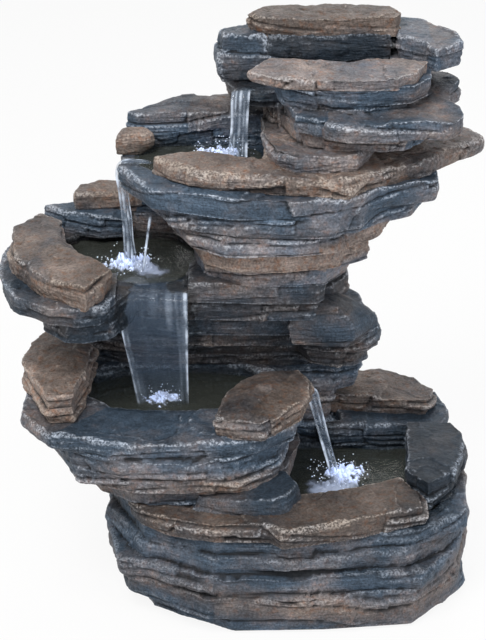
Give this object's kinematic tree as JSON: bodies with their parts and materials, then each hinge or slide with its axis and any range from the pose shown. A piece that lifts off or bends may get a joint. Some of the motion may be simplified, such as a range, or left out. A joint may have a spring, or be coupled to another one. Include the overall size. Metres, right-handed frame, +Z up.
{
  "type": "tabletop water feature",
  "caption": "Tabletop slate-look cascade: stacked rock tiers with pools, spouts, sunken lamps and a hidden pump that lifts water to the crown.",
  "frame": {"origin": "on the table, under the middle of the base", "axes": "+X to the right seen from the front, +Y to the back, +Z up"},
  "size_m": [0.3345, 0.2184, 0.392],
  "materials": {
    "slate_cast": "matte",
    "slate_blue": "matte",
    "slate_brown": "matte",
    "rubber": "matte",
    "pump_plastic": "satin",
    "dial_plastic": "satin",
    "rotor_plastic": "satin",
    "steel": "satin",
    "hose_vinyl": "gloss",
    "fitting_plastic": "satin",
    "lamp_glass": "gloss",
    "lamp_board": "matte",
    "lead_jacket": "satin",
    "inlet_plastic": "satin"
  },
  "bodies": {
    "cascade": {"base_casting": "slate_cast", "lower_tier_casting": "slate_cast", "middle_tier_casting": "slate_cast", "upper_tier_casting": "slate_cast", "crown_casting": "slate_cast", "base_right_stone": "slate_blue", "base_back_ledge": "slate_blue", "middle_back_stone": "slate_blue", "middle_wall_stone": "slate_blue", "upper_back_stone": "slate_blue", "crown_right_stone": "slate_blue", "crown_back_stone": "slate_blue", "crown_left_stone": "slate_blue", "base_front_stone": "slate_brown", "base_back_stone": "slate_brown", "lower_left_boulder": "slate_brown", "lower_front_boulder": "slate_brown", "middle_boulder": "slate_brown", "middle_back_cap": "slate_brown", "upper_left_stone": "slate_brown", "upper_rim_stone": "slate_brown", "crown_front_stone": "slate_brown", "crown_capstone": "slate_brown", "base_pad": "rubber", "suction_cups": "rubber", "led_seals": "rubber", "outlet_seal": "rubber", "pump_body": "pump_plastic", "pump_cover": "pump_plastic", "pump_stator": "steel", "pump_shaft": "steel", "riser_hose": "hose_vinyl", "outlet_fitting": "fitting_plastic", "outlet_nut": "fitting_plastic", "led_nuts": "fitting_plastic", "led_housings": "fitting_plastic", "junction_box": "fitting_plastic", "led_lenses": "lamp_glass", "led_boards": "lamp_board", "led_lead_upper": "lead_jacket", "led_lead_middle": "lead_jacket", "led_lead_lower": "lead_jacket", "led_lead_base": "lead_jacket", "pump_lead": "lead_jacket", "power_inlet": "inlet_plastic"},
    "pump_rotor": {"pump_rotor": "rotor_plastic"},
    "pump_strainer": {"pump_strainer": "pump_plastic"},
    "flow_dial": {"flow_dial": "dial_plastic"},
    "rear_access_door": {"rear_access_door": "slate_cast"}
  },
  "joints": [
    {"name": "rotor_spin", "type": "hinge", "parent": "cascade", "child": "pump_rotor", "pos_m": [0.012, 0.07, 0.042], "axis": [1, 0, 0], "continuous": true},
    {"name": "strainer_pull", "type": "slide", "parent": "cascade", "child": "pump_strainer", "axis": [1, 0, 0], "range_m": [0, 0.012]},
    {"name": "flow_dial_turn", "type": "hinge", "parent": "pump_strainer", "child": "flow_dial", "pos_m": [0.012, 0.07, 0.042], "axis": [1, 0, 0], "range_deg": [0, 90]},
    {"name": "rear_door_pull", "type": "slide", "parent": "cascade", "child": "rear_access_door", "axis": [0, 1, 0], "range_m": [0, 0.06]}
  ]
}
